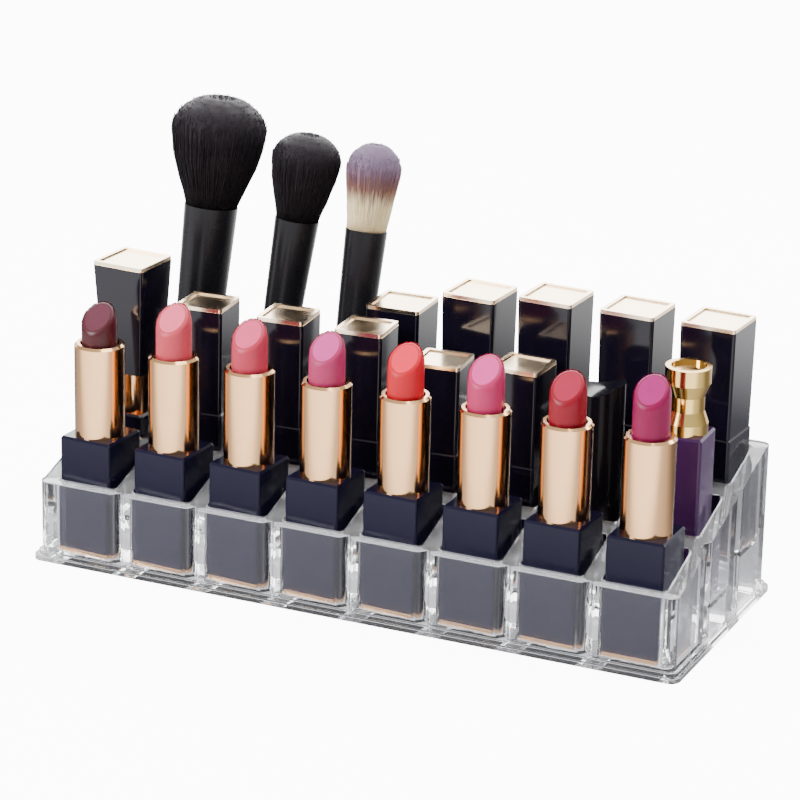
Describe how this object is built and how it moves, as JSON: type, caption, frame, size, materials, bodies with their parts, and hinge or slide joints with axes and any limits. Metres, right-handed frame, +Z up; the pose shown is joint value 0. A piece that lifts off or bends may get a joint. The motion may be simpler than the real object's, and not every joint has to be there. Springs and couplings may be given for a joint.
{
  "type": "vanity organizer",
  "caption": "Clear stepped countertop tray with rows of square cells, stocked with twist-up lipsticks, capped lipsticks, brushes, a gloss tube and a small bottle that lift out",
  "frame": {"origin": "middle of the flat face the tray rests on", "axes": "+X along the rows to the right, +Y from the low front to the high back, +Z up"},
  "size_m": [0.232, 0.1037, 0.1455],
  "materials": {
    "clear_plastic": "clear moulded polystyrene, polished",
    "navy_lacquer": "dark navy lacquer, glossy, with thin gold foot and top plate",
    "gold_metal": "pale champagne gold, polished",
    "black_lacquer": "black, glossy",
    "black_metal": "satin black ferrule",
    "dark_hair": "soft black hair",
    "pale_hair": "cream hair with brown band and mauve tips",
    "purple_glass": "dark purple lacquered glass",
    "lipstick_1": "waxy lipstick, satin",
    "lipstick_2": "waxy lipstick, satin",
    "lipstick_3": "waxy lipstick, satin",
    "lipstick_4": "waxy lipstick, satin",
    "lipstick_5": "waxy lipstick, satin",
    "lipstick_6": "waxy lipstick, satin",
    "lipstick_7": "waxy lipstick, satin",
    "lipstick_8": "waxy lipstick, satin"
  },
  "bodies": {
    "tray": {"tray": "clear_plastic"},
    "front_1_base": {"front_1_base": "navy_lacquer"},
    "front_1_tube": {"front_1_tube": "gold_metal"},
    "front_1_bullet": {"front_1_bullet": "lipstick_1"},
    "front_2_base": {"front_2_base": "navy_lacquer"},
    "front_2_tube": {"front_2_tube": "gold_metal"},
    "front_2_bullet": {"front_2_bullet": "lipstick_2"},
    "front_3_base": {"front_3_base": "navy_lacquer"},
    "front_3_tube": {"front_3_tube": "gold_metal"},
    "front_3_bullet": {"front_3_bullet": "lipstick_3"},
    "front_4_base": {"front_4_base": "navy_lacquer"},
    "front_4_tube": {"front_4_tube": "gold_metal"},
    "front_4_bullet": {"front_4_bullet": "lipstick_4"},
    "front_5_base": {"front_5_base": "navy_lacquer"},
    "front_5_tube": {"front_5_tube": "gold_metal"},
    "front_5_bullet": {"front_5_bullet": "lipstick_5"},
    "front_6_base": {"front_6_base": "navy_lacquer"},
    "front_6_tube": {"front_6_tube": "gold_metal"},
    "front_6_bullet": {"front_6_bullet": "lipstick_6"},
    "front_7_base": {"front_7_base": "navy_lacquer"},
    "front_7_tube": {"front_7_tube": "gold_metal"},
    "front_7_bullet": {"front_7_bullet": "lipstick_7"},
    "front_8_base": {"front_8_base": "navy_lacquer"},
    "front_8_tube": {"front_8_tube": "gold_metal"},
    "front_8_bullet": {"front_8_bullet": "lipstick_8"},
    "mid_1_base": {"mid_1_base": "navy_lacquer"},
    "mid_1_cap": {"mid_1_cap": "navy_lacquer"},
    "mid_2_base": {"mid_2_base": "navy_lacquer"},
    "mid_2_cap": {"mid_2_cap": "navy_lacquer"},
    "mid_3_base": {"mid_3_base": "navy_lacquer"},
    "mid_3_cap": {"mid_3_cap": "navy_lacquer"},
    "mid_4_base": {"mid_4_base": "navy_lacquer"},
    "mid_4_cap": {"mid_4_cap": "navy_lacquer"},
    "mid_5_base": {"mid_5_base": "navy_lacquer"},
    "mid_5_cap": {"mid_5_cap": "navy_lacquer"},
    "mid_6_base": {"mid_6_base": "navy_lacquer"},
    "mid_6_cap": {"mid_6_cap": "navy_lacquer"},
    "back_4_base": {"back_4_base": "navy_lacquer"},
    "back_4_cap": {"back_4_cap": "navy_lacquer"},
    "back_5_base": {"back_5_base": "navy_lacquer"},
    "back_5_cap": {"back_5_cap": "navy_lacquer"},
    "back_6_base": {"back_6_base": "navy_lacquer"},
    "back_6_cap": {"back_6_cap": "navy_lacquer"},
    "back_7_base": {"back_7_base": "navy_lacquer"},
    "back_7_cap": {"back_7_cap": "navy_lacquer"},
    "back_8_base": {"back_8_base": "navy_lacquer"},
    "back_8_cap": {"back_8_cap": "navy_lacquer"},
    "brush_1": {"brush_1_handle": "black_lacquer", "brush_1_ferrule": "black_metal", "brush_1_hair": "dark_hair"},
    "brush_2": {"brush_2_handle": "black_lacquer", "brush_2_ferrule": "black_metal", "brush_2_hair": "dark_hair"},
    "brush_3": {"brush_3_handle": "black_lacquer", "brush_3_ferrule": "black_metal", "brush_3_hair": "pale_hair"},
    "gloss_tube": {"gloss_tube": "black_lacquer"},
    "gloss_cap": {"gloss_cap": "black_lacquer"},
    "bottle": {"bottle": "purple_glass"},
    "bottle_cap": {"bottle_cap": "gold_metal"}
  },
  "joints": [
    {"name": "front_1_lift", "type": "slide", "parent": "tray", "child": "front_1_base", "axis": [0, 0, 1], "range_m": [0, 0.045]},
    {"name": "front_1_twist", "type": "hinge", "parent": "front_1_base", "child": "front_1_tube", "pos_m": [-0.0985, -0.0285, 0.043], "axis": [0, 0, 1], "range_deg": [-377.99, 161.99]},
    {"name": "front_1_rise", "type": "slide", "parent": "front_1_base", "child": "front_1_bullet", "axis": [0, 0, 1], "range_m": [-0.014, 0.006]},
    {"name": "front_2_lift", "type": "slide", "parent": "tray", "child": "front_2_base", "axis": [0, 0, 1], "range_m": [0, 0.045]},
    {"name": "front_2_twist", "type": "hinge", "parent": "front_2_base", "child": "front_2_tube", "pos_m": [-0.0705, -0.0285, 0.043], "axis": [0, 0, 1], "range_deg": [-480.59, 59.39]},
    {"name": "front_2_rise", "type": "slide", "parent": "front_2_base", "child": "front_2_bullet", "axis": [0, 0, 1], "range_m": [-0.0178, 0.0022]},
    {"name": "front_3_lift", "type": "slide", "parent": "tray", "child": "front_3_base", "axis": [0, 0, 1], "range_m": [0, 0.045]},
    {"name": "front_3_twist", "type": "hinge", "parent": "front_3_base", "child": "front_3_tube", "pos_m": [-0.0425, -0.0285, 0.043], "axis": [0, 0, 1], "range_deg": [-448.19, 91.79]},
    {"name": "front_3_rise", "type": "slide", "parent": "front_3_base", "child": "front_3_bullet", "axis": [0, 0, 1], "range_m": [-0.0166, 0.0034]},
    {"name": "front_4_lift", "type": "slide", "parent": "tray", "child": "front_4_base", "axis": [0, 0, 1], "range_m": [0, 0.045]},
    {"name": "front_4_twist", "type": "hinge", "parent": "front_4_base", "child": "front_4_tube", "pos_m": [-0.0145, -0.0285, 0.043], "axis": [0, 0, 1], "range_deg": [-448.19, 91.79]},
    {"name": "front_4_rise", "type": "slide", "parent": "front_4_base", "child": "front_4_bullet", "axis": [0, 0, 1], "range_m": [-0.0166, 0.0034]},
    {"name": "front_5_lift", "type": "slide", "parent": "tray", "child": "front_5_base", "axis": [0, 0, 1], "range_m": [0, 0.045]},
    {"name": "front_5_twist", "type": "hinge", "parent": "front_5_base", "child": "front_5_tube", "pos_m": [0.0135, -0.0285, 0.043], "axis": [0, 0, 1], "range_deg": [-464.39, 75.59]},
    {"name": "front_5_rise", "type": "slide", "parent": "front_5_base", "child": "front_5_bullet", "axis": [0, 0, 1], "range_m": [-0.0172, 0.0028]},
    {"name": "front_6_lift", "type": "slide", "parent": "tray", "child": "front_6_base", "axis": [0, 0, 1], "range_m": [0, 0.045]},
    {"name": "front_6_twist", "type": "hinge", "parent": "front_6_base", "child": "front_6_tube", "pos_m": [0.0415, -0.0285, 0.043], "axis": [0, 0, 1], "range_deg": [-475.19, 64.79]},
    {"name": "front_6_rise", "type": "slide", "parent": "front_6_base", "child": "front_6_bullet", "axis": [0, 0, 1], "range_m": [-0.0176, 0.0024]},
    {"name": "front_7_lift", "type": "slide", "parent": "tray", "child": "front_7_base", "axis": [0, 0, 1], "range_m": [0, 0.045]},
    {"name": "front_7_twist", "type": "hinge", "parent": "front_7_base", "child": "front_7_tube", "pos_m": [0.0695, -0.0285, 0.043], "axis": [0, 0, 1], "range_deg": [-453.59, 86.39]},
    {"name": "front_7_rise", "type": "slide", "parent": "front_7_base", "child": "front_7_bullet", "axis": [0, 0, 1], "range_m": [-0.0168, 0.0032]},
    {"name": "front_8_lift", "type": "slide", "parent": "tray", "child": "front_8_base", "axis": [0, 0, 1], "range_m": [0, 0.045]},
    {"name": "front_8_twist", "type": "hinge", "parent": "front_8_base", "child": "front_8_tube", "pos_m": [0.0975, -0.0285, 0.043], "axis": [0, 0, 1], "range_deg": [-539.99, 0]},
    {"name": "front_8_rise", "type": "slide", "parent": "front_8_base", "child": "front_8_bullet", "axis": [0, 0, 1], "range_m": [-0.02, 0]},
    {"name": "mid_1_lift", "type": "slide", "parent": "tray", "child": "mid_1_base", "axis": [0, 0, 1], "range_m": [0, 0.045]},
    {"name": "mid_1_cap_pull", "type": "slide", "parent": "mid_1_base", "child": "mid_1_cap", "axis": [0, 0, 1], "range_m": [0, 0.03]},
    {"name": "mid_2_lift", "type": "slide", "parent": "tray", "child": "mid_2_base", "axis": [0, 0, 1], "range_m": [0, 0.045]},
    {"name": "mid_2_cap_pull", "type": "slide", "parent": "mid_2_base", "child": "mid_2_cap", "axis": [0, 0, 1], "range_m": [0, 0.03]},
    {"name": "mid_3_lift", "type": "slide", "parent": "tray", "child": "mid_3_base", "axis": [0, 0, 1], "range_m": [0, 0.045]},
    {"name": "mid_3_cap_pull", "type": "slide", "parent": "mid_3_base", "child": "mid_3_cap", "axis": [0, 0, 1], "range_m": [0, 0.03]},
    {"name": "mid_4_lift", "type": "slide", "parent": "tray", "child": "mid_4_base", "axis": [0, 0, 1], "range_m": [0, 0.045]},
    {"name": "mid_4_cap_pull", "type": "slide", "parent": "mid_4_base", "child": "mid_4_cap", "axis": [0, 0, 1], "range_m": [0, 0.03]},
    {"name": "mid_5_lift", "type": "slide", "parent": "tray", "child": "mid_5_base", "axis": [0, 0, 1], "range_m": [0, 0.045]},
    {"name": "mid_5_cap_pull", "type": "slide", "parent": "mid_5_base", "child": "mid_5_cap", "axis": [0, 0, 1], "range_m": [0, 0.03]},
    {"name": "mid_6_lift", "type": "slide", "parent": "tray", "child": "mid_6_base", "axis": [0, 0, 1], "range_m": [0, 0.045]},
    {"name": "mid_6_cap_pull", "type": "slide", "parent": "mid_6_base", "child": "mid_6_cap", "axis": [0, 0, 1], "range_m": [0, 0.03]},
    {"name": "back_4_lift", "type": "slide", "parent": "tray", "child": "back_4_base", "axis": [0, 0, 1], "range_m": [0, 0.045]},
    {"name": "back_4_cap_pull", "type": "slide", "parent": "back_4_base", "child": "back_4_cap", "axis": [0, 0, 1], "range_m": [0, 0.03]},
    {"name": "back_5_lift", "type": "slide", "parent": "tray", "child": "back_5_base", "axis": [0, 0, 1], "range_m": [0, 0.045]},
    {"name": "back_5_cap_pull", "type": "slide", "parent": "back_5_base", "child": "back_5_cap", "axis": [0, 0, 1], "range_m": [0, 0.03]},
    {"name": "back_6_lift", "type": "slide", "parent": "tray", "child": "back_6_base", "axis": [0, 0, 1], "range_m": [0, 0.045]},
    {"name": "back_6_cap_pull", "type": "slide", "parent": "back_6_base", "child": "back_6_cap", "axis": [0, 0, 1], "range_m": [0, 0.03]},
    {"name": "back_7_lift", "type": "slide", "parent": "tray", "child": "back_7_base", "axis": [0, 0, 1], "range_m": [0, 0.045]},
    {"name": "back_7_cap_pull", "type": "slide", "parent": "back_7_base", "child": "back_7_cap", "axis": [0, 0, 1], "range_m": [0, 0.03]},
    {"name": "back_8_lift", "type": "slide", "parent": "tray", "child": "back_8_base", "axis": [0, 0, 1], "range_m": [0, 0.045]},
    {"name": "back_8_cap_pull", "type": "slide", "parent": "back_8_base", "child": "back_8_cap", "axis": [0, 0, 1], "range_m": [0, 0.03]},
    {"name": "brush_1_lift", "type": "slide", "parent": "tray", "child": "brush_1", "axis": [0, 0, 1], "range_m": [0, 0.045]},
    {"name": "brush_2_lift", "type": "slide", "parent": "tray", "child": "brush_2", "axis": [0, 0, 1], "range_m": [0, 0.045]},
    {"name": "brush_3_lift", "type": "slide", "parent": "tray", "child": "brush_3", "axis": [0, 0, 1], "range_m": [0, 0.045]},
    {"name": "gloss_tube_lift", "type": "slide", "parent": "tray", "child": "gloss_tube", "axis": [0, 0, 1], "range_m": [0, 0.045]},
    {"name": "gloss_cap_pull", "type": "slide", "parent": "gloss_tube", "child": "gloss_cap", "axis": [0, 0, 1], "range_m": [0, 0.02]},
    {"name": "bottle_lift", "type": "slide", "parent": "tray", "child": "bottle", "axis": [0, 0, 1], "range_m": [0, 0.045]},
    {"name": "bottle_cap_pull", "type": "slide", "parent": "bottle", "child": "bottle_cap", "axis": [0, 0, 1], "range_m": [0, 0.02]}
  ],
  "couplings": [
    {"joint": "front_1_rise", "follows": "front_1_twist", "m_per_rad": 0.0021221},
    {"joint": "front_2_rise", "follows": "front_2_twist", "m_per_rad": 0.0021221},
    {"joint": "front_3_rise", "follows": "front_3_twist", "m_per_rad": 0.0021221},
    {"joint": "front_4_rise", "follows": "front_4_twist", "m_per_rad": 0.0021221},
    {"joint": "front_5_rise", "follows": "front_5_twist", "m_per_rad": 0.0021221},
    {"joint": "front_6_rise", "follows": "front_6_twist", "m_per_rad": 0.0021221},
    {"joint": "front_7_rise", "follows": "front_7_twist", "m_per_rad": 0.0021221},
    {"joint": "front_8_rise", "follows": "front_8_twist", "m_per_rad": 0.0021221}
  ]
}
